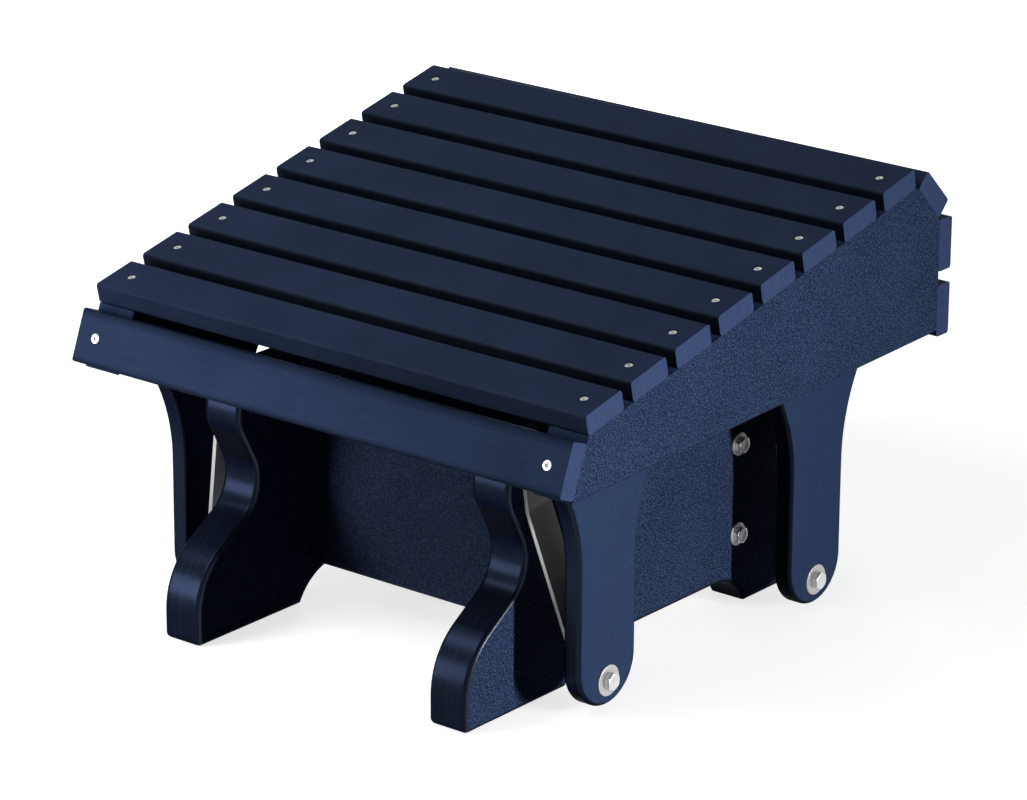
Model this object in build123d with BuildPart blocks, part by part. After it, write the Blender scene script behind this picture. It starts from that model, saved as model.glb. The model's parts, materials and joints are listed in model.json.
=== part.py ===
# Glider ottoman: a slatted footrest that swings fore and aft on four links inside a fixed base.
# Millimetres, +X to the right, +Y to the back, +Z up. The origin is on the floor, at the middle
# of the seat's width and length.
from build123d import *
from math import cos, hypot, radians, sin, tan
import os

# Seat boards
seat_width = 575.0          # length of every board that spans the two rails
seat_depth = 592.0          # apron's lower front corner to the rear boards' faces
board_width = 51.0
board_thickness = 20.0
board_count = 8             # boards of the sloping top
board_end_gap = 3.2         # from the last board to the rail's corner cut
board_round = 3.0
seat_slope = 12.4           # degrees, the top rises to the back
rear_board_count = 2
rear_board_drop = 1.5       # first rear board's top edge below the end of the corner cut
rear_board_gap = 13.4

# Rails
rail_thickness = 43.0
rail_top_mid = 352.3        # height of the rail's top edge at the origin
rail_bottom_front = 239.7
rail_bottom_rear = 253.4
rail_round = 2.0
corner_cut = 39.5           # the rear top corner is cut at 45 degrees, this far from the rear
apron_tilt = 21.0           # degrees from upright, top edge to the back
apron_bottom = 249.4        # height of the apron's lower front corner

# Base panels, one on each side, with an ogee at each end and an arch below
foot_height = 246.5
foot_thickness = 43.0
foot_leg_gap = 44.5         # from a panel's outer face to the leg's inner face
foot_round = 5.0
toe_reach = 91.0            # how far a toe stands out from the upper pivot beside it
toe_tip_radius = 6.0
toe_height = 66.5           # where the toe's upright line would meet the rising line
toe_radius = 71.0
waist_height = 129.0        # where the rising line would meet the brow's line
waist_depth = 96.5          # the same corner, measured in from the toe
waist_radius = 40.0
brow_angle = 62.0           # degrees above level of the line from the waist up to the brow
brow_straight = 33.5        # straight piece between the waist's round and the brow's round
toe_length = 144.4          # along the floor, from a toe's tip to the arch
arch_shoulder = 49.65       # length of the arc from the floor up to the arch's level part
arch_height = 30.0

# Stretchers between the panels
stretcher_inset = 70.25     # from an upper pivot in to the nearest stretcher's middle
stretcher_thickness = 20.0
stretcher_bottom = 43.0
stretcher_width = 150.0
stretcher_round = 3.0
lag_diameter = 9.5
lag_length = 90.0
lag_inset = 30.0            # from a stretcher's edge to its lag screw
lag_flats = 14.3
lag_head = 6.4
lag_washer_diameter = 25.4

# Legs that hang from the rails, outside the panels
leg_width = 82.0
leg_thickness = 19.0
front_leg_inset = 108.55    # from the rail's lower front corner to the front leg's middle
rear_leg_inset = 126.75     # from the rail's rear end to the rear leg's middle
leg_floor_gap = 7.0
leg_round = 4.0
leg_top_width = 158.0
flare_start = 140.0         # heights between which the leg widens on an arc
flare_end = 247.0
leg_top_gap = 2.0           # below the rail's top edge
leg_screw_spacing = 100.0
leg_screw_inset = 18.0      # from the rail's edges

# Links and their pivots
upper_pivot_drop = 25.5     # below the top of the base panel
lower_pivot_height = 31.0
link_lean = 31.25           # how far a link's top stands out from its foot, along Y
link_bend = 12.0            # inner radius of the bends
link_width = 32.0
link_thickness = 4.0
link_foot_gap = 2.0         # from the panel's outer face to the link
link_leg_gap = 3.5          # from the link to the leg's inner face
upper_tab = 30.0            # upright run of the link beside each pivot
lower_tab = 19.0
side_gap = 0.3              # running gap at a link's faces
bolt_diameter = 12.7
bolt_flats = 19.0
bolt_head = 8.0
bolt_point = 2.0            # thread past the nut
nut_height = 11.0
washer_diameter = 32.0
washer_thickness = 2.0
bush_diameter = 20.0
running_gap = 0.05          # radial, bolt in bush
free_pivot_gap = 1.4        # radial, at the rear links' lower ends, which close the linkage

# Wood screws
screw_diameter = 4.5
screw_length = 45.0
screw_head_diameter = 9.5
screw_head_taper = 45.0    # degrees, from the axis to the countersunk cone
hole_gap = 0.1              # radial, round every screw, bolt and bush seat

front_y = -seat_depth / 2
rail_outer = seat_width / 2
rail_inner = rail_outer - rail_thickness
rail_rear = seat_depth / 2 - board_thickness
leg_outer = rail_inner
leg_inner = leg_outer - leg_thickness
foot_outer = leg_inner - foot_leg_gap
foot_inner = foot_outer - foot_thickness
slope = tan(radians(seat_slope))
lean = radians(apron_tilt)


def rail_top(y):
    return rail_top_mid + slope * y


def rail_bottom(y):
    share = (y - rail_front_foot) / (rail_rear - rail_front_foot)
    return rail_bottom_front + share * (rail_bottom_rear - rail_bottom_front)


# The rail's side outline. Its front end lies on the apron's back face.
apron_back_y = front_y + board_thickness * cos(lean)
apron_back_z = apron_bottom - board_thickness * sin(lean)
rail_front_foot = apron_back_y + (rail_bottom_front - apron_back_z) * tan(lean)
rail_front_head = ((apron_back_y + (rail_top_mid - apron_back_z) * tan(lean))
                   / (1 - slope * tan(lean)))
cut_y = rail_rear - corner_cut
rail_outline = [
    (rail_front_foot, rail_bottom_front),
    (rail_front_head, rail_top(rail_front_head)),
    (cut_y, rail_top(cut_y)),
    (rail_rear, rail_top(cut_y) - corner_cut),
    (rail_rear, rail_bottom_rear),
]

# Seats of the boards. Each plane faces outwards, with its Y axis running along the rail's edge.
apron_seat = Plane((0, apron_back_y, apron_back_z), (1, 0, 0), (0, -cos(lean), sin(lean)))
top_seat = Plane((0, *rail_outline[1]), (1, 0, 0),
                 (0, -sin(radians(seat_slope)), cos(radians(seat_slope))))
corner_seat = Plane((0, *rail_outline[2]), (1, 0, 0), (0, 1, 1))
rear_seat = Plane((0, *rail_outline[3]), (1, 0, 0), (0, 1, 0))
corner_start = (corner_cut * hypot(1, 1) - board_width) / 2
top_length = (cut_y - rail_front_head) / cos(radians(seat_slope))
board_pitch = (top_length - board_end_gap - board_width) / (board_count - 1)

boards = {"front_apron": (apron_seat, 0.0)}
for number in range(board_count):
    boards[f"seat_slat_{number + 1}"] = (top_seat, number * board_pitch)
boards["corner_slat"] = (corner_seat, corner_start)
for number in range(rear_board_count):
    start = rear_board_drop + number * (board_width + rear_board_gap)
    boards[f"rear_slat_{number + 1}"] = (rear_seat, start)

screw_x = rail_outer - rail_thickness / 2
screw_radius = screw_diameter / 2
screw_head = (screw_head_diameter / 2 - screw_radius) / tan(radians(screw_head_taper))


def side_plane(x, y=0.0):
    """Upright plane across X, with its own X axis along +Y and its Y axis up."""
    return Plane((x, y, 0), (0, 1, 0), (1, 0, 0))


def rods(side, near, far, radius, spots, bore=0.0, mode=Mode.ADD):
    """Round bars or rings along X, from near to far off the middle plane, at (y, z) spots."""
    with BuildSketch(side_plane(min(side * near, side * far))) as ends_of_rods:
        with Locations(*spots):
            Circle(radius)
            if bore:
                Circle(bore, mode=Mode.SUBTRACT)
    extrude(ends_of_rods.sketch, amount=abs(far - near), mode=mode)


def hexes(side, near, far, flats, spots):
    """Hexagonal bars along X, with two corners up and down."""
    with BuildSketch(side_plane(min(side * near, side * far))) as hexagons:
        with Locations(*spots):
            RegularPolygon(flats / 2, 6, major_radius=False, rotation=30)
    extrude(hexagons.sketch, amount=abs(far - near))


def screw_heads(face, spots, gap=0.0, mode=Mode.ADD, into=-1):
    """Countersunk cones, flush with the face and sunk against its normal, or along it if into is 1."""
    with BuildSketch(face) as rims:
        with Locations(*spots):
            Circle(screw_head_diameter / 2 + gap)
    extrude(rims.sketch, amount=into * screw_head, taper=screw_head_taper, mode=mode)


def finish(builder, label):
    builder.part.label = label
    export_step(builder.part, f"parts/{label}.step")


os.makedirs("parts", exist_ok=True)
sides = {"left": -1, "right": 1}
ends = {"front": -1, "rear": 1}

# Boards across the rails, with their screws
for label, (seat, start) in boards.items():
    middle = start + board_width / 2
    spots = [(-screw_x, middle), (screw_x, middle)]
    with BuildPart() as board:
        with BuildSketch(seat):
            with Locations((0, middle)):
                Rectangle(seat_width, board_width)
        extrude(amount=board_thickness)
        fillet(board.edges().filter_by(Axis.X), board_round)
        with BuildSketch(seat):
            with Locations(*spots):
                Circle(screw_radius + hole_gap)
        extrude(amount=board_thickness, mode=Mode.SUBTRACT)
        screw_heads(seat.offset(board_thickness), spots, hole_gap, Mode.SUBTRACT)
    finish(board, label)

screw_sets = {
    "apron_screws": ["front_apron"],
    "seat_slat_screws": [name for name in boards if name.startswith("seat_slat")],
    "rear_slat_screws": [name for name in boards if name[:4] in ("corn", "rear")],
}
for label, names in screw_sets.items():
    with BuildPart() as screws:
        for seat, start in [boards[name] for name in names]:
            spots = [(x, start + board_width / 2) for x in (-screw_x, screw_x)]
            screw_heads(seat.offset(board_thickness), spots)
            with BuildSketch(seat.offset(board_thickness)):
                with Locations(*spots):
                    Circle(screw_radius)
            extrude(amount=-screw_length)
    finish(screws, label)

# Pivot and screw places, as (y, z)
lower_pivots = {"front": (rail_front_foot + front_leg_inset, lower_pivot_height),
                "rear": (rail_rear - rear_leg_inset, lower_pivot_height)}
upper_pivots = {end: (y + ends[end] * link_lean, foot_height - upper_pivot_drop)
                for end, (y, z) in lower_pivots.items()}
base_middle = (lower_pivots["front"][0] + lower_pivots["rear"][0]) / 2
foot_length = upper_pivots["rear"][0] - upper_pivots["front"][0] + 2 * toe_reach
stretcher_ys = {end: upper_pivots[end][0] - sign * stretcher_inset for end, sign in ends.items()}
lag_heights = (stretcher_bottom + lag_inset, stretcher_bottom + stretcher_width - lag_inset)
lag_spots = {end: [(y, z) for z in lag_heights] for end, y in stretcher_ys.items()}
all_lags = lag_spots["front"] + lag_spots["rear"]
leg_screw_spots = {}
for end, (y, z) in lower_pivots.items():
    columns = (y - leg_screw_spacing / 2, y + leg_screw_spacing / 2)
    leg_screw_spots[end] = ([(column, rail_bottom(column) + leg_screw_inset) for column in columns]
                            + [(column, rail_top(column) - leg_screw_inset) for column in columns])
all_leg_screws = leg_screw_spots["front"] + leg_screw_spots["rear"]
leg_screw_length = leg_thickness + rail_thickness / 2

# Side rails: long wedges with a raked front end and a cut rear corner
for name, side in sides.items():
    with BuildPart() as rail:
        with BuildSketch(side_plane(min(side * rail_inner, side * rail_outer))):
            with BuildLine():
                Polyline(*rail_outline, close=True)
            make_face()
        extrude(amount=rail_thickness)
        underside = rail.faces().sort_by(Axis.Z)[0]
        fillet(underside.edges().filter_by(Axis.X, reverse=True), rail_round)
        for seat, start in boards.values():
            with BuildSketch(seat):
                with Locations((side * screw_x, start + board_width / 2)):
                    Circle(screw_radius + hole_gap)
            extrude(amount=board_thickness - screw_length, mode=Mode.SUBTRACT)
        rods(side, rail_inner, rail_inner + rail_thickness / 2, screw_radius + hole_gap,
             all_leg_screws, mode=Mode.SUBTRACT)
    finish(rail, f"{name}_rail")

# Legs: parallel below, round at the foot, flared where they meet the rail
for end, (pivot_y, pivot_z) in lower_pivots.items():
    half = leg_width / 2
    half_top = leg_top_width / 2
    foot_z = leg_floor_gap + half
    for name, side in sides.items():
        with BuildPart() as leg:
            with BuildSketch(side_plane(min(side * leg_inner, side * leg_outer), pivot_y)):
                with BuildLine():
                    CenterArc((0, foot_z), half, 180, 180)
                    for way in (-1, 1):
                        Line((way * half, foot_z), (way * half, flare_start))
                        TangentArc((way * half, flare_start), (way * half_top, flare_end),
                                   tangent=(0, 1))
                    Polyline((-half_top, flare_end),
                             (-half_top, rail_top(pivot_y - half_top) - leg_top_gap),
                             (half_top, rail_top(pivot_y + half_top) - leg_top_gap),
                             (half_top, flare_end))
                make_face()
            extrude(amount=leg_thickness)
            faces = leg.faces().filter_by(Axis.X)
            fillet(faces.edges().filter_by(lambda edge: edge.center().Z < flare_end), leg_round)
            rods(side, leg_inner, leg_outer, bolt_diameter / 2 + hole_gap,
                 [(pivot_y, pivot_z)], mode=Mode.SUBTRACT)
            rods(side, leg_inner, leg_outer, screw_radius + hole_gap,
                 leg_screw_spots[end], mode=Mode.SUBTRACT)
            screw_heads(side_plane(side * leg_inner), leg_screw_spots[end], hole_gap,
                        Mode.SUBTRACT, into=side)
        finish(leg, f"{end}_{name}_leg")

with BuildPart() as leg_screws:
    for side in sides.values():
        screw_heads(side_plane(side * leg_inner), all_leg_screws, into=side)
        rods(side, leg_inner, leg_inner + leg_screw_length, screw_radius, all_leg_screws)
finish(leg_screws, "leg_screws")

# Base panels
half_foot = foot_length / 2
arch_end = toe_length - half_foot
waist_u = waist_depth - half_foot
brow_rise = foot_height - waist_height
brow_u = waist_u - brow_rise / tan(radians(brow_angle))
toe_line = Vector(waist_depth, waist_height - toe_height)
brow_line = Vector(brow_u - waist_u, brow_rise)
waist_turn = toe_line.get_angle(brow_line)
waist_tangent = waist_radius * tan(radians(waist_turn / 2))
brow_tangent = brow_line.length - waist_tangent - brow_straight
brow_radius = brow_tangent / tan(radians((180 - brow_angle) / 2))
for name, side in sides.items():
    with BuildPart() as foot:
        with BuildSketch(side_plane(min(side * foot_inner, side * foot_outer), base_middle)):
            with BuildLine():
                FilletPolyline((arch_end, 0), (-half_foot, 0), (-half_foot, toe_height),
                               (waist_u, waist_height), (brow_u, foot_height), (0, foot_height),
                               radius=[toe_tip_radius, toe_radius, waist_radius, brow_radius])
                TangentArc((arch_end + arch_shoulder, arch_height), (arch_end, 0),
                           tangent=(-1, 0))
                Line((arch_end + arch_shoulder, arch_height), (0, arch_height))
                mirror(about=Plane.YZ)
            make_face()
        extrude(amount=foot_thickness)
        fillet(foot.faces().filter_by(Axis.X).edges(), foot_round)
        rods(side, foot_inner, foot_outer, bolt_diameter / 2 + hole_gap,
             list(upper_pivots.values()), mode=Mode.SUBTRACT)
        rods(side, foot_inner, foot_outer, lag_diameter / 2 + hole_gap, all_lags,
             mode=Mode.SUBTRACT)
    finish(foot, f"{name}_foot")

# Stretchers, with lag screws into their ends
for end, stretcher_y in stretcher_ys.items():
    with BuildPart() as stretcher:
        with Locations((0, stretcher_y, stretcher_bottom + stretcher_width / 2)):
            Box(2 * foot_inner, stretcher_thickness, stretcher_width)
        fillet(stretcher.edges().filter_by(Axis.X), stretcher_round)
        for side in sides.values():
            rods(side, foot_outer + washer_thickness - lag_length, foot_inner,
                 lag_diameter / 2 + hole_gap, lag_spots[end], mode=Mode.SUBTRACT)
    finish(stretcher, f"{end}_stretcher")

lag_seat = foot_outer + washer_thickness
with BuildPart() as lag_screws:
    for side in sides.values():
        hexes(side, lag_seat, lag_seat + lag_head, lag_flats, all_lags)
        rods(side, lag_seat - lag_length, lag_seat, lag_diameter / 2, all_lags)
finish(lag_screws, "stretcher_lag_screws")

with BuildPart() as lag_washers:
    for side in sides.values():
        rods(side, foot_outer, lag_seat, lag_washer_diameter / 2, all_lags,
             bore=lag_diameter / 2 + hole_gap)
finish(lag_washers, "stretcher_washers")

# Links: flat bars with an upright tab at each pivot and a slanting run between them
upper_face = foot_outer + link_foot_gap
lower_face = leg_inner - link_leg_gap
link_length = hypot(link_lean, foot_height - upper_pivot_drop - lower_pivot_height)
for end, sign in ends.items():
    upper = Vector(0, *upper_pivots[end])
    lower = Vector(0, *lower_pivots[end])
    along = (lower - upper).normalized()
    bush_bores = {upper_pivots[end]: running_gap,
                  lower_pivots[end]: running_gap if end == "front" else free_pivot_gap}
    for name, side in sides.items():
        inner_line = [
            (upper_face, -link_width / 2),
            (upper_face, upper_tab),
            (lower_face - link_thickness, link_length - lower_tab),
            (lower_face - link_thickness, link_length + link_width / 2),
        ]
        outer_line = [(x + link_thickness, along_link) for x, along_link in inner_line]
        tight, wide = link_bend, link_bend + link_thickness
        edge_plane = Plane(upper, (side, 0, 0), Vector(side, 0, 0).cross(along))
        flat_plane = Plane((upper + lower) / 2, along, (1, 0, 0))
        with BuildPart() as link:
            with BuildSketch(edge_plane):
                with BuildLine():
                    near_face = FilletPolyline(*inner_line, radius=[wide, tight])
                    far_face = FilletPolyline(*outer_line, radius=[tight, wide])
                    Line(near_face @ 0, far_face @ 0)
                    Line(near_face @ 1, far_face @ 1)
                make_face()
            extrude(amount=link_width / 2, both=True)
            with BuildSketch(flat_plane):
                SlotCenterToCenter(link_length, link_width)
            extrude(amount=leg_outer, both=True, mode=Mode.INTERSECT)
            rods(side, foot_outer, leg_inner, bush_diameter / 2 + hole_gap, list(bush_bores),
                 mode=Mode.SUBTRACT)
        finish(link, f"{end}_{name}_link")

        bush_spans = {upper_pivots[end]: (upper_face, upper_face + link_thickness),
                      lower_pivots[end]: (lower_face - link_thickness, lower_face)}
        with BuildPart() as bushes:
            for spot, (near, far) in bush_spans.items():
                rods(side, near, far, bush_diameter / 2, [spot],
                     bore=bolt_diameter / 2 + bush_bores[spot])
        finish(bushes, f"{end}_{name}_link_bushes")

# Pivot fasteners. Each stack is given by its faces' distances from the middle plane.
bolt_bore = bolt_diameter / 2 + hole_gap
upper_spots = list(upper_pivots.values())
lower_spots = list(lower_pivots.values())
upper_nut = upper_face + link_thickness + side_gap + washer_thickness
lower_nut = lower_face - link_thickness - side_gap - washer_thickness
rings = {
    "upper_head_washers": (foot_inner - washer_thickness, foot_inner, upper_spots),
    "upper_spacers": (foot_outer, upper_face - side_gap, upper_spots),
    "upper_nut_washers": (upper_nut - washer_thickness, upper_nut, upper_spots),
    "lower_head_washers": (leg_outer, leg_outer + washer_thickness, lower_spots),
    "lower_spacers": (lower_face + side_gap, leg_inner, lower_spots),
    "lower_nut_washers": (lower_nut, lower_nut + washer_thickness, lower_spots),
}
for label, (near, far, spots) in rings.items():
    with BuildPart() as ring_set:
        for side in sides.values():
            rods(side, near, far, washer_diameter / 2, spots, bore=bolt_bore)
    finish(ring_set, label)

bolts = {
    "upper_pivot_bolts": (foot_inner - washer_thickness - bolt_head,
                          foot_inner - washer_thickness,
                          upper_nut + nut_height + bolt_point, upper_spots),
    "lower_pivot_bolts": (leg_outer + washer_thickness, leg_outer + washer_thickness + bolt_head,
                          lower_nut - nut_height - bolt_point, lower_spots),
}
for label, (head_near, head_far, point, spots) in bolts.items():
    with BuildPart() as bolt_set:
        for side in sides.values():
            hexes(side, head_near, head_far, bolt_flats, spots)
            rods(side, (head_near + head_far) / 2, point, bolt_diameter / 2, spots)
    finish(bolt_set, label)

nuts = {"upper_lock_nuts": (upper_nut, upper_nut + nut_height, upper_spots),
        "lower_lock_nuts": (lower_nut - nut_height, lower_nut, lower_spots)}
for label, (near, far, spots) in nuts.items():
    with BuildPart() as nut_set:
        for side in sides.values():
            hexes(side, near, far, bolt_flats, spots)
            rods(side, near, far, bolt_bore, spots, mode=Mode.SUBTRACT)
    finish(nut_set, label)
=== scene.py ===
# Dresses the glider ottoman: lumber finishes, steel fasteners, studio floor, lamps and camera.
import bmesh
import bpy
import json
import numpy as np
from math import cos, pi, radians, sin, tan
from mathutils import Matrix, Vector


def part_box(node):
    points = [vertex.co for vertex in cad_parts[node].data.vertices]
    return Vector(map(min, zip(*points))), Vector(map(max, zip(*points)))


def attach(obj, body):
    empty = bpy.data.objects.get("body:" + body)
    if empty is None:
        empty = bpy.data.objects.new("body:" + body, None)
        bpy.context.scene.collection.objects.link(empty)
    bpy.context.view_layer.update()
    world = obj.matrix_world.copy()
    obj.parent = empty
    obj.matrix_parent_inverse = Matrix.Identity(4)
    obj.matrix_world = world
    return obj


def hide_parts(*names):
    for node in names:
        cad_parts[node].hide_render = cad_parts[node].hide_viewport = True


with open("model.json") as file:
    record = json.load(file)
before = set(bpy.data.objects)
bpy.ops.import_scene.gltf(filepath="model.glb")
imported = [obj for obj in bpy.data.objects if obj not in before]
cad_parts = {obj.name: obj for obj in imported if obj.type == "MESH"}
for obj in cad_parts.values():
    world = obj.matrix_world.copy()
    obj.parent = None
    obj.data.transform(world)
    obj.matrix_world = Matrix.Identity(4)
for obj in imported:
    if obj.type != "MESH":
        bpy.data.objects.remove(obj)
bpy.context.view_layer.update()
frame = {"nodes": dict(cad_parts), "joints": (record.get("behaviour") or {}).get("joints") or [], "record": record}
nodes = frame["nodes"]
bodyOf = {node: body for body, held in frame["record"]["behaviour"]["bodies"].items() for node in held}
mm = 0.001
print("frame loaded", len(nodes), "nodes")


# Small helpers for meshes and materials

def gridFaces(rows, columns, closeRows=False):
    # quads between neighbouring points of a rows by columns grid, wrapped round in columns
    row = np.arange(rows if closeRows else rows - 1)[:, None]
    column = np.arange(columns)[None, :]
    nextRow, nextColumn = (row + 1) % rows, (column + 1) % columns
    return np.stack([row * columns + column, row * columns + nextColumn,
                     nextRow * columns + nextColumn, nextRow * columns + column], -1).reshape(-1, 4)


def meshObject(name, points, faces, materials, faceMaterial=None, sharpAbove=40):
    # object at the origin from an (n, 3) array of points in metres and an (m, 4) array of faces
    mesh = bpy.data.meshes.new(name)
    mesh.from_pydata(points.tolist(), [], faces.tolist())
    for material in materials:
        mesh.materials.append(material)
    if faceMaterial is not None:
        mesh.polygons.foreach_set("material_index", faceMaterial.astype(np.int32))
    work = bmesh.new()
    work.from_mesh(mesh)
    bmesh.ops.remove_doubles(work, verts=work.verts, dist=1e-7)
    bmesh.ops.recalc_face_normals(work, faces=work.faces)
    work.to_mesh(mesh)
    work.free()
    mesh.shade_smooth()
    mesh.set_sharp_from_angle(angle=radians(sharpAbove))
    piece = bpy.data.objects.new(name, mesh)
    bpy.context.scene.collection.objects.link(piece)
    return piece


def nodeTree(material):
    # the material's node tree, emptied
    material.use_nodes = True
    material.node_tree.nodes.clear()
    return material.node_tree


def add(tree, kind, **inputs):
    # new node; a keyword names a socket, with _ for a space, or else one of the node's own settings
    node = tree.nodes.new(kind)
    for key, value in inputs.items():
        socket = node.inputs.get(key.replace("_", " "))
        if socket is None:
            setattr(node, key, value)
        elif isinstance(value, bpy.types.NodeSocket):
            tree.links.new(value, socket)
        else:
            socket.default_value = value
    return node


def plug(tree, sockets, values):
    # links or sets several sockets in turn
    for socket, value in zip(sockets, values):
        if isinstance(value, bpy.types.NodeSocket):
            tree.links.new(value, socket)
        elif socket.type == "RGBA":
            socket.default_value = (*value, 1)
        else:
            socket.default_value = value


def maths(tree, operation, first, second=0.0):
    # one step of arithmetic on two numbers or sockets
    node = add(tree, "ShaderNodeMath", operation=operation)
    plug(tree, node.inputs, (first, second))
    return node.outputs[0]


def total(tree, *weighted):
    # sum of (share, value) pairs
    result = None
    for share, value in weighted:
        part = maths(tree, "MULTIPLY", value, share)
        result = part if result is None else maths(tree, "ADD", result, part)
    return result


def ramp(tree, value, low, high, toLow=0.0, toHigh=1.0):
    # straight line from low..high to toLow..toHigh, held beyond its ends
    node = add(tree, "ShaderNodeMapRange", Value=value)
    plug(tree, [node.inputs[key] for key in ("From Min", "From Max", "To Min", "To Max")],
         (low, high, toLow, toHigh))
    return node.outputs["Result"]


def blend(tree, share, first, second, kind="RGBA"):
    # first where share is 0, second where it is 1
    node = add(tree, "ShaderNodeMix", data_type=kind)
    offset = {"FLOAT": 2, "RGBA": 6}[kind]
    plug(tree, (node.inputs[0], node.inputs[offset], node.inputs[offset + 1]), (share, first, second))
    return node.outputs[{"FLOAT": 0, "RGBA": 2}[kind]]


def noise(tree, at, scale, detail=2.0, roughness=0.5):
    # scale is one number, or three for a pattern stretched along the axes
    if isinstance(scale, tuple):
        at, scale = add(tree, "ShaderNodeMapping", Vector=at, Scale=scale).outputs["Vector"], 1.0
    return add(tree, "ShaderNodeTexNoise", Vector=at, Scale=scale, Detail=detail,
               Roughness=roughness).outputs["Fac"]


def facing(tree, axis, low, high):
    # 1 where the surface faces along the axis, either way, falling to 0 over its rounded edges
    normal = add(tree, "ShaderNodeTexCoord").outputs["Normal"]
    parts = add(tree, "ShaderNodeSeparateXYZ", Vector=normal)
    return ramp(tree, maths(tree, "ABSOLUTE", parts.outputs[axis]), low, high)


def outwards(tree, axis, low, high):
    # from 0 at low to 1 at high, of the place times the normal along the axis: above 0 where the
    # surface faces away from the middle, below 0 where it faces it
    place = add(tree, "ShaderNodeTexCoord").outputs
    at = add(tree, "ShaderNodeSeparateXYZ", Vector=place["Object"])
    faces = add(tree, "ShaderNodeSeparateXYZ", Vector=place["Normal"])
    return ramp(tree, maths(tree, "MULTIPLY", at.outputs[axis], faces.outputs[axis]), low, high)


def longEdgeShade(tree, at, edges):
    # painted shade: edges["dark"] at a board's long edges, falling to 0 inwards; the height is
    # the place's part along edges["up"]
    across = add(tree, "ShaderNodeVectorMath", operation="DOT_PRODUCT")
    plug(tree, across.inputs, (at, edges["up"]))
    height = across.outputs["Value"]
    both = maths(tree, "ADD", ramp(tree, height, *edges["top"]), ramp(tree, height, *edges["bottom"]))
    return maths(tree, "MULTIPLY", both, edges["dark"])


def shaded(tree, colour, roughness, height, distance, **settings):
    # principled surface with a bump, joined to the output
    bump = add(tree, "ShaderNodeBump", Height=height, Distance=distance, Strength=1.0)
    shader = add(tree, "ShaderNodeBsdfPrincipled", Base_Color=colour, Roughness=roughness,
                 Normal=bump.outputs["Normal"], **settings)
    out = add(tree, "ShaderNodeOutputMaterial")
    tree.links.new(shader.outputs[0], out.inputs["Surface"])


# Camera, lamps and floor

cameraView = {
    "place": (2.6211, -3.2703, 1.6662),
    "turn": 38.722,             # degrees to the left of straight back
    "down": 19.338,
    "roll": 0.323,
    "lens": 165.875,            # millimetres, on a sensor 36 wide
}


def addCamera(view):
    # turned about Z, then tipped down, then rolled about its own line of sight
    camera = bpy.data.objects.new("camera", bpy.data.cameras.new("camera"))
    turned = Matrix.Rotation(radians(view["turn"]), 4, "Z")
    tipped = Matrix.Rotation(radians(90 - view["down"]), 4, "X")
    rolled = Matrix.Rotation(radians(view["roll"]), 4, "Z")
    camera.matrix_world = Matrix.Translation(view["place"]) @ turned @ tipped @ rolled
    camera.data.lens = view["lens"]
    camera.data.sensor_width = 36
    bpy.context.scene.collection.objects.link(camera)
    bpy.context.scene.camera = camera


lamps = {
    # name: place, point it faces, width, height, watts, spread in degrees
    "sideStrip": ((2.55, 0.33, 0.60), (0, -0.50, 0.20), 0.08, 0.80, 7, 65),
    "lowFrontLeft": ((-0.76, -1.14, 0.31), (0, 0, 0.20), 0.44, 0.46, 8.0, 180),
    "highFrontLeft": ((-0.90, -1.26, 1.90), (0, 0, 0.25), 1.10, 0.80, 22, 180),
    "backFill": ((-1.80, 1.80, 0.45), (0, 0, 0.20), 0.80, 0.50, 18, 180),
    "overhead": ((0.30, 0.20, 2.60), (0, 0, 0.30), 1.60, 1.60, 6, 180),
}


def addLamp(name, place, aim, width, height, watts, spread):
    # a rectangle of light at its place, turned so that its axis runs through its aim
    lamp = bpy.data.lights.new(name, "AREA")
    lamp.shape = "RECTANGLE"
    lamp.size = width
    lamp.size_y = height
    lamp.energy = watts
    lamp.spread = radians(spread)
    held = bpy.data.objects.new(name, lamp)
    held.location = place
    held.rotation_euler = (Vector(aim) - Vector(place)).to_track_quat("-Z", "Y").to_euler()
    bpy.context.scene.collection.objects.link(held)


room = {
    "air": (0.93, 0.96, 1.0),
    "airStrength": 0.03,
    "sweepRadius": 9.0,         # metres
    "sweepHeight": 10.0,
    "coveRadius": 1.2,
    "paper": (0.80, 0.80, 0.80),
    "glowNear": 0.74,           # what the camera and reflections see on top of the lit paper
    "glowFar": 0.98,
    "glowReach": (0.5, 2.5),    # metres from the middle, from near to far
    "paperBounce": (0.05, 0.05, 0.052),     # the paper's colour to the light that it bounces
}


def addWorld(settings):
    # faint even light from all round, above the sweep
    world = bpy.data.worlds.new("studioAir")
    bpy.context.scene.world = world
    world.use_nodes = True
    background = world.node_tree.nodes["Background"]
    background.inputs["Color"].default_value = (*settings["air"], 1)
    background.inputs["Strength"].default_value = settings["airStrength"]


def paperMaterial(settings):
    # white paper to the camera, in reflections and through glass, darker to the light that it bounces
    material = bpy.data.materials.new("studioPaper")
    tree = nodeTree(material)
    bright = add(tree, "ShaderNodeAddShader")
    seen = add(tree, "ShaderNodeBsdfDiffuse", Color=(*settings["paper"], 1))
    at = add(tree, "ShaderNodeTexCoord").outputs["Object"]
    away = add(tree, "ShaderNodeVectorMath", operation="LENGTH")
    tree.links.new(at, away.inputs[0])
    glow = add(tree, "ShaderNodeEmission",
               Strength=ramp(tree, away.outputs["Value"], *settings["glowReach"], settings["glowNear"],
                             settings["glowFar"]))
    plug(tree, bright.inputs, (seen.outputs[0], glow.outputs[0]))
    bounce = add(tree, "ShaderNodeBsdfDiffuse", Color=(*settings["paperBounce"], 1))
    path = add(tree, "ShaderNodeLightPath").outputs
    shown = maths(tree, "MAXIMUM", maths(tree, "MAXIMUM", path["Is Camera Ray"], path["Is Glossy Ray"]),
                  path["Is Transmission Ray"])
    mix = add(tree, "ShaderNodeMixShader")
    plug(tree, mix.inputs, (shown, bounce.outputs[0], bright.outputs[0]))
    out = add(tree, "ShaderNodeOutputMaterial")
    tree.links.new(mix.outputs[0], out.inputs["Surface"])
    return material


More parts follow.
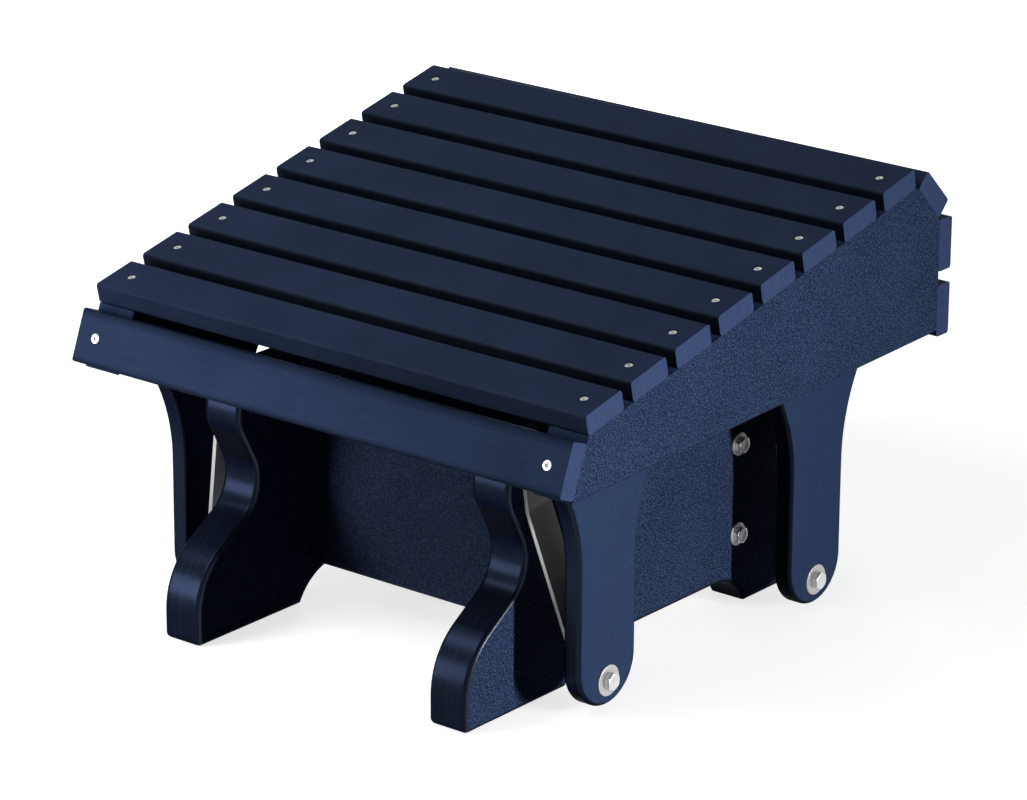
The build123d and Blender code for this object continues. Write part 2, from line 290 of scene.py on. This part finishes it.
def addSweep(settings):
    # a disc of floor that turns up through a quarter round into a wall: one profile turned about Z
    flatEnd = settings["sweepRadius"] - settings["coveRadius"]
    flat = np.array([0.0, 0.6, 1.5, 4.0, flatEnd])
    bend = np.linspace(0, pi / 2, 12)[1:]
    out = np.concatenate([flat, flatEnd + settings["coveRadius"] * np.sin(bend), [settings["sweepRadius"]]])
    up = np.concatenate([0 * flat, settings["coveRadius"] * (1 - np.cos(bend)), [settings["sweepHeight"]]])
    turn = np.linspace(0, 2 * pi, 96, endpoint=False)
    points = np.stack([out[:, None] * np.cos(turn), out[:, None] * np.sin(turn),
                       np.repeat(up[:, None], len(turn), 1)], -1).reshape(-1, 3)
    sweep = meshObject("studioSweep", points, gridFaces(len(out), len(turn)), [paperMaterial(settings)],
                       sharpAbove=80)


addCamera(cameraView)
for lampName, lampValues in lamps.items():
    addLamp(lampName, *lampValues)
addWorld(room)
addSweep(room)
bpy.context.scene.view_settings.view_transform = "Standard"
print("studio ready")


# Lumber finishes

black = (0, 0, 0)
coatRoughness = 0.3
coatIndex = 1.5
boardFinish = {
    "dark": (0.0160, 0.0257, 0.058),
    "light": (0.0286, 0.0442, 0.100),
    "side": (0.0080, 0.0120, 0.0220),   # painted shade on the faces in the gaps between slats
    # share of that painted gap shade
    "gapShadeShare": 0.0,
    "edgeCoat": 0.03,                   # gloss on the rounded upper edges
    "longEdgeShade": None,                  # painted shade along the rounded long edges
    "sawn": (0.057, 0.088, 0.200),      # cut ends, paler than the skin
    "streaks": (40, 850, 850),          # per metre, drawn out along the board
    "grain": (800, 1200, 1200),
    "streakShare": 0.45,                # the rest is grain
    "clouds": 13,
    "cloudShare": 0.35,
    "sawMarks": (200, 1100, 130),
    "sawContrast": 0.16,
    "roughSkin": 0.50,
    "roughSawn": 0.65,
    "bump": 0.00012,
    "gloss": 0.012,
}
# slats 2 to 8 take the painted gap shade in full, the first slat in part
gapShadedFinish = dict(boardFinish, gapShadeShare=1.0)
firstSlatShadedFinish = dict(boardFinish, gapShadeShare=0.3)
apronTilt = radians(21)
apronEdgeShade = {
    "up": (0, sin(apronTilt), cos(apronTilt)),
    "top": (0.1678, 0.1780),            # metres along up from the origin, where the painted shade starts and is full
    "bottom": (0.1328, 0.1272),
    "dark": 0.66,
}
# the apron's colours are lighter than the other boards': painted light; its long edges take painted shade
apronFinish = dict(boardFinish, dark=(0.0210, 0.0355, 0.081), light=(0.0378, 0.0612, 0.138), gloss=0.008,
                   edgeCoat=0.0, longEdgeShade=apronEdgeShade)
sheetFinish = {
    "dark": (0.0055, 0.0118, 0.0320),
    "light": (0.0350, 0.0620, 0.1440),
    "paintedGlint": (0.125, 0.180, 0.300),     # painted glints on the pebbled face, where its facets catch the light
    "pebbles": 620,                     # per metre
    "fineGrain": 1.7,                   # how much finer than the pebbles
    "glints": 1.15,
    "pebbleShare": 0.55,
    "fineShare": 0.6,
    "clouds": 11,
    "cloudShare": 0.2,
    "glintShare": 0.60,                 # higher for fewer painted glints
    "edgeDark": (0.0063, 0.0091, 0.0180),
    "edgeLight": (0.0102, 0.0147, 0.0292),
    "edgeTint": (0.08, 0.12, 0.25, 1),  # how much of the glare at a grazing angle stays
    "rimCoat": 0.38,                    # clear gloss where a face rounds over into its edge
    "innerShade": 0.0,                   # painted shade: how much a face turned to the middle darkens
    "roughFace": 0.65,
    "roughEdge": 0.26,
    "streakLength": 9,                  # per metre along a routed edge
    "streakWidth": 1500,
    "streakRelief": 0.12,               # height of the streaks against the pebbles
    "edgeShine": 0.62,                  # share of the edge that mirrors in the plastic's own blue
    "gloss": 0.012,
    "bump": 0.00060,
}
railFinish = dict(sheetFinish, edgeDark=(0.0200, 0.0340, 0.0780), edgeLight=(0.0330, 0.0560, 0.1250),
                  roughEdge=0.5, edgeShine=0.0, rimCoat=0.0)
# darker colours and dimmer glints than the sheet: painted shade for the stretchers under the seat
stretcherShadedFinish = dict(sheetFinish, dark=(0.0090, 0.0145, 0.0345), light=(0.0320, 0.0475, 0.1010),
                   paintedGlint=(0.055, 0.078, 0.150))
# the legs' face and edge colours are lighter than the sheet's: painted light; their finer pebbles and fewer glints
# are their own grain
legFinish = dict(sheetFinish, dark=(0.0270, 0.0482, 0.1090), light=(0.0435, 0.0731, 0.1630),
                 paintedGlint=(0.060, 0.092, 0.190), pebbles=900, glintShare=0.72, bump=0.00010, rimCoat=0.0,
                 edgeDark=(0.0095, 0.0128, 0.0240), edgeLight=(0.0150, 0.0205, 0.0380), innerShade=0.65)


def scaled(colour, factor):
    # the colour times the factor
    return tuple(factor * part for part in colour)


def boardMaterial(name, finish):
    # satin extruded skin with fine streaks along X, and paler sawn ends with upright saw marks
    material = bpy.data.materials.new(name)
    tree = nodeTree(material)
    at = add(tree, "ShaderNodeTexCoord").outputs["Object"]
    streaks = noise(tree, at, finish["streaks"], 3)
    grain = noise(tree, at, finish["grain"], 2)
    clouds = noise(tree, at, finish["clouds"], 3)
    mixed = total(tree, (finish["streakShare"], streaks), (1 - finish["streakShare"], grain))
    tone = total(tree, (1 - finish["cloudShare"], ramp(tree, mixed, 0.36, 0.64)),
                 (finish["cloudShare"], ramp(tree, clouds, 0.35, 0.65)))
    skin = blend(tree, tone, finish["dark"], finish["light"])
    # painted shade: faces along Y, in the gaps between slats, darken to the side colour
    side = maths(tree, "MULTIPLY", facing(tree, "Y", 0.55, 0.90), finish["gapShadeShare"])
    skin = blend(tree, side, skin, finish["side"])
    # painted shade along the rounded long edges
    if finish["longEdgeShade"]:
        skin = blend(tree, longEdgeShade(tree, at, finish["longEdgeShade"]), skin, black)
    sawMarks = noise(tree, at, finish["sawMarks"], 3)
    sawn = blend(tree, ramp(tree, sawMarks, 0.3, 0.7), scaled(finish["sawn"], 1 - finish["sawContrast"]),
                 scaled(finish["sawn"], 1 + finish["sawContrast"]))
    end = facing(tree, "X", 0.90, 0.99)
    colour = blend(tree, end, skin, sawn)
    roughness = maths(tree, "ADD", ramp(tree, end, 0, 1, finish["roughSkin"], finish["roughSawn"]),
                      ramp(tree, streaks, 0.3, 0.7, -0.05, 0.05))
    height = maths(tree, "ADD", mixed, maths(tree, "MULTIPLY", sawMarks, end))
    normal = add(tree, "ShaderNodeTexCoord").outputs["Normal"]
    up = add(tree, "ShaderNodeSeparateXYZ", Vector=normal).outputs["Z"]
    rounded = maths(tree, "MULTIPLY", ramp(tree, up, 0.85, 0.93, 1.0, 0.0), ramp(tree, up, 0.20, 0.35))
    coat = maths(tree, "MULTIPLY", rounded, ramp(tree, end, 0, 1, finish["edgeCoat"], 0.0))
    shaded(tree, colour, roughness, height, finish["bump"], Specular_IOR_Level=finish["gloss"],
           Coat_Weight=coat, Coat_Roughness=coatRoughness, Coat_IOR=coatIndex)
    return material


def sheetMaterial(name, finish, faceAxis):
    # pebbled sheet, with painted glints, on the faces across faceAxis; the edges are routed smooth,
    # with fine streaks that run along the outline because they vary only across it; edges that face
    # away from the middle shine, their rounded rims have a clear gloss, and faces turned to the middle can take a
    # painted shade
    material = bpy.data.materials.new(name)
    tree = nodeTree(material)
    at = add(tree, "ShaderNodeTexCoord").outputs["Object"]
    face = facing(tree, faceAxis, 0.955, 0.995)
    pebbles = add(tree, "ShaderNodeTexVoronoi", Vector=at, Scale=finish["pebbles"], feature="SMOOTH_F1",
                  Smoothness=0.6).outputs["Distance"]
    fine = noise(tree, at, finish["pebbles"] * finish["fineGrain"], 2, 0.6)
    clouds = noise(tree, at, finish["clouds"], 4)
    surface = total(tree, (finish["pebbleShare"], ramp(tree, pebbles, 0.1, 0.75)),
                    (finish["fineShare"], fine))
    tone = total(tree, (1 - finish["cloudShare"], ramp(tree, surface, 0.35, 0.8)),
                 (finish["cloudShare"], ramp(tree, clouds, 0.35, 0.65)))
    plain = blend(tree, tone, finish["dark"], finish["light"])
    # painted glints: light flecks on the faces, standing in for facets that catch the light
    glints = noise(tree, at, finish["pebbles"] * finish["glints"], 1.5, 0.7)
    glint = maths(tree, "MULTIPLY", face,
                  ramp(tree, glints, finish["glintShare"] - 0.04, finish["glintShare"] + 0.05))
    streakScale = [finish["streakLength"]] * 3
    streakScale["XYZ".index(faceAxis)] = finish["streakWidth"]
    streaks = noise(tree, at, tuple(streakScale), 3, 0.6)
    edge = blend(tree, ramp(tree, streaks, 0.3, 0.7), finish["edgeDark"], finish["edgeLight"])
    colour = blend(tree, glint, blend(tree, face, edge, plain), finish["paintedGlint"])
    # painted shade on faces turned to the middle
    inner = outwards(tree, "X", -0.05, -0.15)
    colour = blend(tree, maths(tree, "MULTIPLY", inner, finish["innerShade"]), colour, black)
    roughness = maths(tree, "ADD", ramp(tree, face, 0, 1, finish["roughEdge"], finish["roughFace"]),
                      ramp(tree, streaks, 0.3, 0.7, -0.06, 0.06))
    relief = maths(tree, "MULTIPLY", streaks, finish["streakRelief"])
    height = blend(tree, face, relief, surface, "FLOAT")
    outer = outwards(tree, "Y", 0.01, 0.05)
    roughness = blend(tree, outer, finish["roughFace"], roughness, "FLOAT")
    shine = maths(tree, "MULTIPLY", ramp(tree, face, 0, 1, finish["edgeShine"], 0.0), outer)
    rim = maths(tree, "MULTIPLY", ramp(tree, face, 0, 1, finish["rimCoat"], 0.0),
                facing(tree, faceAxis, 0.7, 0.8))
    coat = maths(tree, "MULTIPLY", rim, outer)
    shaded(tree, colour, roughness, height, finish["bump"], Specular_IOR_Level=finish["gloss"],
           Specular_Tint=finish["edgeTint"], Metallic=shine, Coat_Weight=coat,
           Coat_Roughness=coatRoughness, Coat_IOR=coatIndex)
    return material


# Steel and nylon finishes

steelFinish = {
    "colour": (0.73, 0.73, 0.73),
    "edgeHighlight": None,                    # lighter colour of a plate's edge facing along Y: a painted highlight
    "scratches": (600, 600, 600),       # per metre along X, Y and Z
    "clouds": 60,
    "contrast": (0.86, 1.08),
    "rough": 0.35,
    "roughSpread": (-0.07, 0.09),
    "bump": 0.00003,
}
washerFinish = dict(steelFinish, colour=(0.50, 0.50, 0.495), scratches=(500, 500, 500), rough=0.45)
# the links' plate is darker than the other steel, painted shade under the seat, and its front edges lighter, a
# painted highlight
plateFinish = dict(steelFinish, colour=(0.26, 0.26, 0.255), edgeHighlight=(0.43, 0.43, 0.42),
                   scratches=(1400, 1400, 30), rough=0.55)
nylonFinish = {
    "colour": (0.72, 0.71, 0.67),
    "shade": 0.85,                      # of the darkest marks
    "clouds": 240,
    "rough": (0.35, 0.50),
    "gloss": 0.4,
    "bump": 0.00004,
}


def steelMaterial(name, finish):
    # metal with fine scratches, drawn out along the axis with the least of them, and faint
    # clouding; an edge which faces along Y can take a lighter colour, a painted highlight
    material = bpy.data.materials.new(name)
    tree = nodeTree(material)
    at = add(tree, "ShaderNodeTexCoord").outputs["Object"]
    scratches = noise(tree, at, finish["scratches"], 4, 0.6)
    clouds = noise(tree, at, finish["clouds"], 3)
    low, high = finish["contrast"]
    tint = blend(tree, ramp(tree, total(tree, (0.5, scratches), (0.5, clouds)), 0.35, 0.65),
                 scaled(finish["colour"], low), scaled(finish["colour"], high))
    # painted highlight on edges that face along Y
    if finish["edgeHighlight"]:
        tint = blend(tree, facing(tree, "Y", 0.5, 0.8), tint, finish["edgeHighlight"])
    smooth, worn = [finish["rough"] + part for part in finish["roughSpread"]]
    rough = ramp(tree, scratches, 0.3, 0.7, smooth, worn)
    shaded(tree, tint, rough, scratches, finish["bump"], Metallic=1.0)
    return material


def nylonMaterial(name, finish):
    # milky plastic with faint flow marks
    material = bpy.data.materials.new(name)
    tree = nodeTree(material)
    at = add(tree, "ShaderNodeTexCoord").outputs["Object"]
    clouds = noise(tree, at, finish["clouds"], 3)
    tint = blend(tree, clouds, scaled(finish["colour"], finish["shade"]), finish["colour"])
    shaded(tree, tint, ramp(tree, clouds, 0.3, 0.7, *finish["rough"]), clouds, finish["bump"],
           Specular_IOR_Level=finish["gloss"])
    return material


boardLumber = boardMaterial("navyBoardLumber", boardFinish)
gapShadedLumber = boardMaterial("navySlatLumberGapShaded", gapShadedFinish)
firstLumber = boardMaterial("navyFirstSlatLumber", firstSlatShadedFinish)
apronLumber = boardMaterial("navyApronLumber", apronFinish)
sheetLumber = sheetMaterial("navySheetLumber", sheetFinish, "X")
railLumber = sheetMaterial("navyRailLumber", railFinish, "X")
crossLumber = sheetMaterial("navyStretcherLumber", stretcherShadedFinish, "Y")
legLumber = sheetMaterial("navyLegLumber", legFinish, "X")
plateSteel = steelMaterial("brushedPlateSteel", plateFinish)
fastenerSteel = steelMaterial("brightFastenerSteel", steelFinish)
washerSteel = steelMaterial("stampedWasherSteel", washerFinish)
nylon = nylonMaterial("naturalNylon", nylonFinish)
finishOf = {
    "_foot": sheetLumber,
    "_rail": railLumber,
    "_leg": legLumber,
    "_stretcher": crossLumber,
    "_link": plateSteel,
    "_bushes": nylon,
    "apron": apronLumber,
}


def finishFor(name):
    # slats by their place, other lumber, links and bushes by the end of their name, steel for the rest
    if name.endswith("screws"):
        return fastenerSteel
    if name == "seat_slat_1":
        return firstLumber
    if name.startswith("seat_slat_"):
        return gapShadedLumber
    if "_slat" in name:
        return boardLumber
    for ending, material in finishOf.items():
        if name.endswith(ending):
            return material
    return fastenerSteel


for nodeName, node in nodes.items():
    for place in node.material_slots:
        place.material = finishFor(nodeName)
print("finishes ready")


# Where the fasteners sit, read from the frame, and how they get there

def middle(node):
    # the middle of a node's box
    low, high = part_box(node)
    return (low + high) / 2


jointAt = {joint["name"]: Vector(joint["pos_m"]) for joint in frame["joints"]}
baseMiddle = middle("left_foot").y
upperPivots = [tuple(jointAt[name])[1:] for name in ("front_left_swing", "rear_left_swing")]
lowerFront = tuple(jointAt["seat_swing"])[1:]
lowerPivots = [lowerFront, (2 * baseMiddle - lowerFront[0], lowerFront[1])]
lagInset = 30 * mm              # from a stretcher's edge to its lag screw
lagSpots = [(middle(node).y, height) for node in ("front_stretcher", "rear_stretcher")
            for height in (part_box(node)[0].z + lagInset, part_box(node)[1].z - lagInset)]


def finishPiece(piece, node):
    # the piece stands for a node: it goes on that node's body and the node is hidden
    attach(piece, bodyOf[node])
    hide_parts(node)


def turnedSeats(across, spots, inward=False, step=0.0):
    # seats on both sides at a distance across from the middle plane; each has its own turn about
    # its axis, which points away from the middle plane unless inward
    out = -1 if inward else 1
    return [(Vector((side * across, y, z)), Vector((side * out, 0, 0)), step * (count + 1))
            for side in (-1, 1) for count, (y, z) in enumerate(spots)]


def placedCopies(points, faces, seats):
    # the shape is spun by the seat's turn about its own Z, which is laid along the seat's axis; its Y
    # stands upright where that axis runs along X, and otherwise lies along X
    allPoints, allFaces = [], []
    for number, (start, axis, turn) in enumerate(seats):
        out = np.array(axis)
        up = np.array((0, 0, 1)) if abs(out[0]) > 0.5 else np.array((1, 0, 0))
        first = np.cross(up, out)
        spin = np.array([[cos(turn), -sin(turn), 0], [sin(turn), cos(turn), 0], [0, 0, 1]])
        basis = np.stack([first, up, out])
        allPoints.append(points @ spin.T @ basis + np.array(start))
        allFaces.append(faces + number * len(points))
    return np.concatenate(allPoints), np.concatenate(allFaces)


def turnedRows(rows, angles):
    # points of a turned shape: each row is a radius and a height, either of them constant or
    # an array over the angles
    full = np.ones_like(angles)
    radius = np.stack([full * row[0] for row in rows])
    height = np.stack([full * row[1] for row in rows])
    return np.stack([radius * np.cos(angles), radius * np.sin(angles), height], -1).reshape(-1, 3)


def hexRadius(flats, angles):
    # distance to a hexagon's side in each direction, with a corner straight up
    return flats / 2 / np.cos((angles + pi / 6) % (pi / 3) - pi / 6)


def threadRows(major, depth, pitch, start, end, angles, perTurn=6, taper=0.0):
    # radius of a V thread: a triangle wave in height less the share of a turn, fading in at its
    # start and narrowing by taper towards its end
    count = int(abs(end - start) / pitch * perTurn)
    rows = []
    for share in np.linspace(0, 1, count):
        height = start + (end - start) * share
        wave = np.abs(((height / pitch - angles / (2 * pi)) % 1.0) * 2 - 1)
        fade = min(1.0, share * count / perTurn)
        rows.append(((major - depth * fade * wave) * (1 - taper * share), height))
    return rows


# Hexagon bolts and lag screws

bendSharp = 28                  # degrees between faces, past which an edge of a bolt or nut stays sharp

pivotBolt = {
    # millimetres, with angles in degrees
    "flats": 15.0, "head": 6.2, "shank": 9.5, "pitch": 1.6, "threadDepth": 0.9, "threaded": 17.0,
    "sides": 72, "coneAngle": 25,
    "pointShare": 0.0,              # how much the thread narrows towards its end
    "circleShare": 0.95,            # the chamfer's inner circle, of the distance across flats
    "dish": 0.12,                   # depth of the hollow in the head
    "dishFrom": 0.60, "dishTo": 0.72,       # shares of that circle
    "ringShort": 0.2,               # from the flat ring round the hollow to that circle
    "underRound": 0.5,              # at the foot of the head and under it
    "bearingShare": 0.94,           # the bearing face, of the hexagon
    "runOut": 1.0,                  # from the thread's end to the bolt's
    "tipShare": 0.8,                # the bolt's end face, of its core
}
lagScrew = dict(pivotBolt, flats=14.3, head=5.6, pitch=3.6, threadDepth=1.5, threaded=55.0, sides=48,
                pointShare=0.35)


def hexHeadRows(size, angles):
    # from the top's centre out to the chamfer's circle, down its cone to the flats, and under to
    # the shank; the cone meets each flat in an arc because a row never passes the hexagon
    side = hexRadius(size["flats"], angles)
    circle = size["flats"] / 2 * size["circleShare"]
    slope = tan(radians(size["coneAngle"]))
    reach = side.max() - circle
    top, floor, foot = size["head"], size["head"] - size["dish"], size["underRound"]
    rows = [(0.0, floor), (circle * size["dishFrom"], floor), (circle * size["dishTo"], top),
            (circle - size["ringShort"], top)]
    for share in np.linspace(0.1, 1, 6):
        rows.append((np.minimum(side, circle + share * reach), top - share * reach * slope))
    return rows + [(side, foot), (side - foot * 0.6, foot * 0.3), (side * size["bearingShare"], 0.0)]


def hexBolts(name, node, size, seats, length):
    # hexagon head, plain shank and a thread, turned about the bolt's axis with its bearing face at 0
    angles = np.linspace(0, 2 * pi, size["sides"], endpoint=False)
    shank, fillet = size["shank"] / 2, size["underRound"]
    plain = length - size["threaded"]
    rows = hexHeadRows(size, angles)
    rows += [(shank + fillet, 0.0), (shank, -fillet), (shank, -plain + fillet)]
    rows += threadRows(shank, size["threadDepth"], size["pitch"], -plain, -length + size["runOut"], angles,
                       taper=size["pointShare"])
    tip = shank * (1 - size["pointShare"]) - size["threadDepth"]
    rows += [(tip, -length + 0.05), (tip * size["tipShare"], -length), (0.0, -length)]
    points, faces = placedCopies(turnedRows(rows, angles) * mm, gridFaces(len(rows), len(angles)), seats)
    finishPiece(meshObject(name, points, faces, [fastenerSteel], sharpAbove=bendSharp), node)


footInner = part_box("right_foot")[0].x
washerSheet = 2.0 * mm
upperBearing = footInner - washerSheet
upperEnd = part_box("upper_pivot_bolts")[1].x
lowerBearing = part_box("lower_head_washers")[1].x
boltPoint = 2.0 * mm            # bolt left beyond its nut
nutHeight = 11.0                # millimetres
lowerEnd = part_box("lower_lock_nuts")[1].x - nutHeight * mm - boltPoint
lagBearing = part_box("stretcher_washers")[1].x
lagLength = 90.0                # millimetres

hexBolts("upperHexBolts", "upper_pivot_bolts", pivotBolt,
         turnedSeats(upperBearing, upperPivots, inward=True, step=0.12), (upperEnd - upperBearing) / mm)
hexBolts("lowerHexBolts", "lower_pivot_bolts", pivotBolt,
         turnedSeats(lowerBearing, lowerPivots, step=0.05), (lowerBearing - lowerEnd) / mm)
hexBolts("hexLagScrews", "stretcher_lag_screws", lagScrew, turnedSeats(lagBearing, lagSpots, step=0.04),
         lagLength)
print("bolts and lag screws done")


# Lock nuts with nylon rings

lockNut = {
    "flats": 14.3, "height": nutHeight, "bore": 9.5, "sides": 72, "circleShare": 0.95,
    "bevel": 0.5,                   # of the bore's mouth
    "bevelWidth": 0.7, "bevelFrom": 0.4, "bevelTo": 0.9,    # of the hexagon at the bearing face
    "hexShare": 0.70,               # height of the hexagon
    "coneSlope": 0.45,              # of the upper chamfer
    "collar": 12.9, "lip": 10.8, "lipThick": 0.3,
    "ringSunk": 0.7, "ringLoose": 0.02, "ringRound": 0.3,
}


def lockNuts(name, node, size, seats):
    # closed profile: bearing face, hexagon with both chamfers, domed collar rolled over the ring,
    # and the bore; the rows between the lip and the bore are nylon
    angles = np.linspace(0, 2 * pi, size["sides"], endpoint=False)
    side = hexRadius(size["flats"], angles)
    circle = size["flats"] / 2 * size["circleShare"]
    top, hexTop, bore = size["height"], size["height"] * size["hexShare"], size["bore"] / 2
    collar, lip, slope = size["collar"] / 2, size["lip"] / 2, size["coneSlope"]
    ring, ringTop = bore + size["ringLoose"], top - size["ringSunk"]
    rows = [(bore + size["bevel"], 0.0), (circle, 0.0),
            (np.minimum(side, circle + size["bevelWidth"]), size["bevelFrom"]), (side, size["bevelTo"])]
    for share in np.linspace(1, 0, 5):
        reach = side.max() - collar
        rows.append((np.minimum(side, collar + share * reach), hexTop + (1 - share) * slope * reach))
    base = hexTop + slope * (side.max() - collar)
    for share in np.linspace(0.2, 1, 7):
        bend = share * pi / 2
        rows.append((lip + (collar - lip) * cos(bend), base + (top - base) * sin(bend)))
    steelRows = len(rows) + 1
    rows += [(lip - 0.25, top - 0.15), (lip - size["lipThick"], ringTop),
             (bore + size["ringRound"], ringTop), (ring, ringTop - 0.4), (ring, size["bevel"])]
    grid = gridFaces(len(rows), len(angles), closeRows=True)
    points, faces = placedCopies(turnedRows(rows, angles) * mm, grid, seats)
    nylonRow = np.arange(len(rows)) >= steelRows
    materialOf = np.tile(np.repeat(nylonRow, len(angles)), len(seats))
    finishPiece(meshObject(name, points, faces, [fastenerSteel, nylon], materialOf, bendSharp), node)


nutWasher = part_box("upper_nut_washers")[1].x
lockNuts("upperLockNuts", "upper_lock_nuts", lockNut, turnedSeats(nutWasher, upperPivots, step=0.17))
lockNuts("lowerLockNuts", "lower_lock_nuts", lockNut,
         turnedSeats(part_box("lower_lock_nuts")[1].x, lowerPivots, inward=True, step=0.09))
print("lock nuts done")


# Washers and spacers

washer = {
    "pivotOuter": 29.5, "lagOuter": 22.2, "boreLoose": 0.5,
    "rolled": 0.7,                  # radius of the edge that the punch rolls over
    "burr": 0.12,                   # and of the other one
    "sides": 72,
}


def washers(name, node, size, outer, bore, thickness, seats):
    # closed profile with one edge rolled over by the punch and the other nearly sharp
    angles = np.linspace(0, 2 * pi, size["sides"], endpoint=False)
    rolled, burr = min(size["rolled"], thickness / 2), size["burr"]
    bend = np.linspace(0, pi / 2, 6)
    rows = [(bore / 2, burr), (bore / 2 + burr, 0.0), (outer / 2 - burr, 0.0), (outer / 2, burr)]
    rows += [(outer / 2 - rolled * (1 - cos(turn)), thickness - rolled * (1 - sin(turn))) for turn in bend]
    rows += [(bore / 2 + rolled * (1 - sin(turn)), thickness - rolled * (1 - cos(turn))) for turn in bend]
    grid = gridFaces(len(rows), len(angles), closeRows=True)
    points, faces = placedCopies(turnedRows(rows, angles) * mm, grid, seats)
    finishPiece(meshObject(name, points, faces, [washerSteel], sharpAbove=35), node)


def pivotWashers(name, node, thickness, spots, start, inward=False):
    # washers or spacers on the four pivot bolts, from start outwards, or inwards where inward
    washers(name, node, washer, washer["pivotOuter"], pivotBolt["shank"] + washer["boreLoose"], thickness,
            turnedSeats(start, spots, inward=inward))


sheet = washerSheet / mm
legInner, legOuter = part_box("front_right_leg")[0].x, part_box("front_right_leg")[1].x
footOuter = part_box("right_foot")[1].x
linkGap = 0.3                   # millimetres between a lower spacer and its link
lowerSpacer = (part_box("lower_spacers")[1].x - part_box("front_right_link")[1].x) / mm - linkGap
upperSpacer = (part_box("upper_spacers")[1].x - footOuter) / mm
pivotWashers("upperHeadWashers", "upper_head_washers", sheet, upperPivots, footInner, inward=True)
pivotWashers("upperNutWashers", "upper_nut_washers", sheet, upperPivots, nutWasher - washerSheet)
pivotWashers("lowerHeadWashers", "lower_head_washers", sheet, lowerPivots, legOuter)
pivotWashers("lowerNutWashers", "lower_nut_washers", sheet, lowerPivots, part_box("lower_nut_washers")[1].x,
             inward=True)
pivotWashers("upperSpacers", "upper_spacers", upperSpacer, upperPivots, footOuter)
pivotWashers("lowerSpacers", "lower_spacers", lowerSpacer, lowerPivots, legInner, inward=True)
washers("lagWashers", "stretcher_washers", washer, washer["lagOuter"],
        lagScrew["shank"] + washer["boreLoose"], sheet, turnedSeats(lagBearing - washerSheet, lagSpots))
print("washers and spacers done", round(lowerSpacer, 3), round(upperSpacer, 3))


# Countersunk wood screws with six-lobe recesses

woodScrew = {
    "head": 9.5, "shank": 4.5, "length": 45.0, "sides": 48, "rim": 0.2,
    "sunk": 0.12,                   # below the board's face
    "crown": 0.04, "crownAt": 0.68,         # rise of the head's face round its recess
    "coneEnd": 2.5,                 # depth at which the countersunk cone meets the shank
    "coneRound": 0.25, "coneFade": 0.4,
    "lobeMiddle": 2.1, "lobeDepth": 0.30, "recess": 2.5, "recessPoint": 0.35,
    "recessBevel": 0.22,
    "pitch": 2.6, "threadDepth": 0.85, "threaded": 30.0, "point": 3.5,
}
seatScrew = dict(woodScrew, head=7.6, sunk=0.95, lobeMiddle=1.75)
legScrew = dict(woodScrew, length=40.5)


def woodScrews(name, node, size, seats):
    # the recess, whose radius swings with the cosine of six times the angle, the flat head with its
    # rolled rim, a 45 degree cone, the shank, and a thread that runs out to a point
    angles = np.linspace(0, 2 * pi, size["sides"], endpoint=False)
    lobes = size["lobeMiddle"] + size["lobeDepth"] * np.cos(6 * angles)
    head, shank, sunk, rim = size["head"] / 2, size["shank"] / 2, size["sunk"], size["rim"]
    deep, coneEnd, threadTop = size["recess"], size["coneEnd"], size["threaded"] - size["length"]
    pointStart = size["point"] - size["length"]
    rows = [(0.0, -deep - size["recessPoint"]), (lobes * 0.45, -deep - 0.1), (lobes * 0.96, -deep),
            (lobes, -sunk - 0.2), (lobes + size["recessBevel"], -sunk),
            (head * size["crownAt"], -sunk + size["crown"])]
    for turn in np.linspace(0, pi * 0.75, 6):
        rows.append((head - 0.1 - rim * (1 - sin(turn)), -sunk - rim * (1 - cos(turn))))
    rows += [(shank + size["coneRound"], -coneEnd), (shank, -coneEnd - size["coneFade"]),
             (shank, threadTop + 0.5)]
    rows += threadRows(shank, size["threadDepth"], size["pitch"], threadTop, pointStart + 0.5, angles,
                       perTurn=5)
    rows += [(shank - size["threadDepth"], pointStart), (0.0, -size["length"])]
    points, faces = placedCopies(turnedRows(rows, angles) * mm, gridFaces(len(rows), len(angles)), seats)
    finishPiece(meshObject(name, points, faces, [fastenerSteel], sharpAbove=32), node)


seatSlope = radians(12.4)
boardHalf = 10.0 * mm           # half a board's thickness
screwAcross = 266.0 * mm        # from the middle plane
slatNames = sorted(name for name in nodes if name.startswith("seat_slat_") and not name.endswith("screws"))


def boardSeats(names, normal, step):
    # two screws in each board, flush with the face that its normal leaves from the board's middle
    out = Vector(normal)
    return [(middle(name) + out * boardHalf + Vector((side * screwAcross, 0, 0)), out,
             step * (2 * count + side))
            for count, name in enumerate(names) for side in (-1, 1)]


woodScrews("seatBoardScrews", "seat_slat_screws", seatScrew,
           boardSeats(slatNames, (0, -sin(seatSlope), cos(seatSlope)), 0.37))
woodScrews("apronScrews", "apron_screws", woodScrew,
           boardSeats(["front_apron"], (0, -cos(apronTilt), sin(apronTilt)), 0.5))
woodScrews("rearBoardScrews", "rear_slat_screws", woodScrew,
           boardSeats(["corner_slat"], (0, cos(pi / 4), sin(pi / 4)), 0.31)
           + boardSeats(["rear_slat_1", "rear_slat_2"], (0, 1, 0), 0.43))
print("board screws done")

railEdges = {
    # millimetres: the rail's top at the middle, its slope, its bottom as (y, z) at front and rear,
    # and the columns of screws along it
    "topMiddle": 352.3,
    "slope": tan(seatSlope),
    "bottomFront": (-278.3, 239.7),
    "bottomRear": (276.0, 253.4),
    "screwInset": 18.0,
    "columns": (-219.75, -119.75, 99.25, 199.25),
}


def legScrewSpots(edges):
    # a screw near the rail's bottom and another near its top in each column
    columns = np.array(edges["columns"])
    (y0, z0), (y1, z1) = edges["bottomFront"], edges["bottomRear"]
    low = z0 + (columns - y0) / (y1 - y0) * (z1 - z0) + edges["screwInset"]
    high = edges["topMiddle"] + edges["slope"] * columns - edges["screwInset"]
    return [(y * mm, z * mm) for heights in (low, high) for y, z in zip(columns, heights)]


woodScrews("legScrews", "leg_screws", legScrew,
           turnedSeats(legInner, legScrewSpots(railEdges), inward=True, step=0.29))
print("leg screws done")
